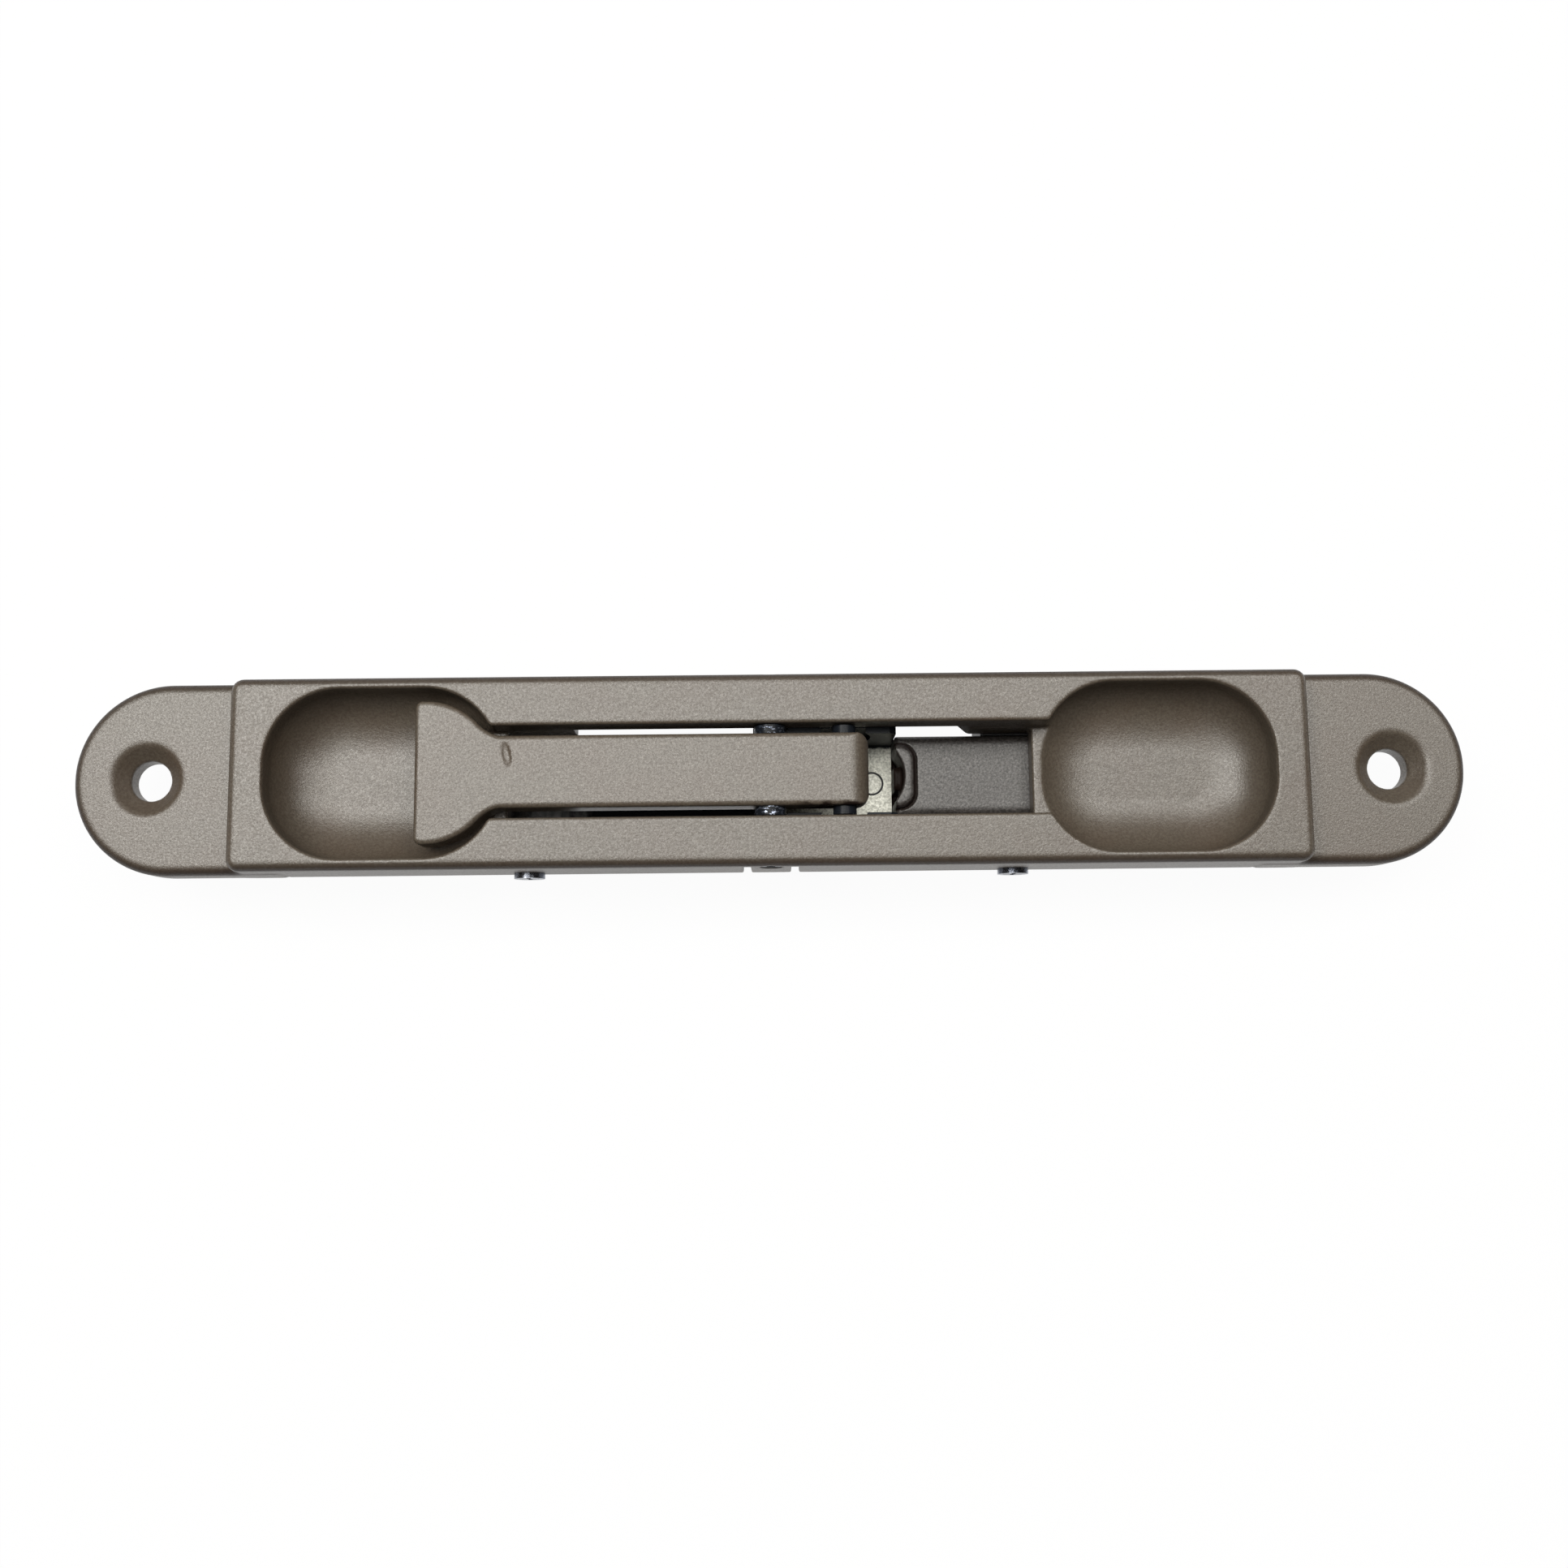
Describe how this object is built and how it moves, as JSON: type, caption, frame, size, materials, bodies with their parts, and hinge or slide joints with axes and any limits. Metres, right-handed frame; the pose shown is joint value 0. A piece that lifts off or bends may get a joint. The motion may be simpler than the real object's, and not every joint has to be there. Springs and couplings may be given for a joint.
{
  "type": "flush bolt",
  "caption": "Flush bolt for an aluminium door edge: a flip lever in a painted face with finger scoops drives a bar with sockets for the locking rods.",
  "frame": {"origin": "midway between the two fixing holes, on the underside of the fixing lugs", "axes": "+X along the face towards the end the short arm of the lever points to at rest, +Z out of the door edge"},
  "size_m": [0.18, 0.0262, 0.0199],
  "materials": {
    "paint": "fine matt powder coat",
    "lever_paint": "fine matt powder coat",
    "carriage_paint": "fine matt powder coat",
    "pin_steel": "ground steel with a film of grease",
    "plated_steel": "zinc plated sheet steel",
    "rivet_steel": "plated, pressed flush",
    "spring_steel": "blued spring steel",
    "dark_steel": "blackened steel",
    "cast_zinc": "matt powder coat",
    "nylon": "moulded black plastic",
    "buffer_rubber": "matt black rubber"
  },
  "bodies": {
    "housing": {"body": "paint", "pivot_pin": "pin_steel", "pivot_washers": "plated_steel", "guide_left": "nylon", "guide_right": "nylon", "side_screws": "dark_steel", "friction_spring_left": "spring_steel", "friction_spring_right": "spring_steel", "stop_buffer_left": "buffer_rubber", "stop_buffer_right": "buffer_rubber"},
    "lever": {"lever": "lever_paint", "crank_pin": "pin_steel"},
    "slider": {"yoke": "plated_steel", "yoke_rivets": "rivet_steel", "carriage": "carriage_paint", "carriage_screws": "dark_steel", "drive_bar": "plated_steel", "rod_block_left": "cast_zinc", "rod_block_right": "cast_zinc", "rod_block_screws": "dark_steel", "rod_set_screws": "dark_steel"}
  },
  "joints": [
    {"name": "lever_turn", "type": "hinge", "parent": "housing", "child": "lever", "pos_m": [0, 0, 0.0065], "axis": [0, 1, 0], "range_deg": [0, 180]},
    {"name": "bar_slide", "type": "slide", "parent": "housing", "child": "slider", "axis": [1, 0, 0], "range_m": [-0.019, 0]}
  ],
  "couplings": [
    {"joint": "bar_slide", "follows": "lever_turn", "m_per_rad": -0.0060479}
  ]
}
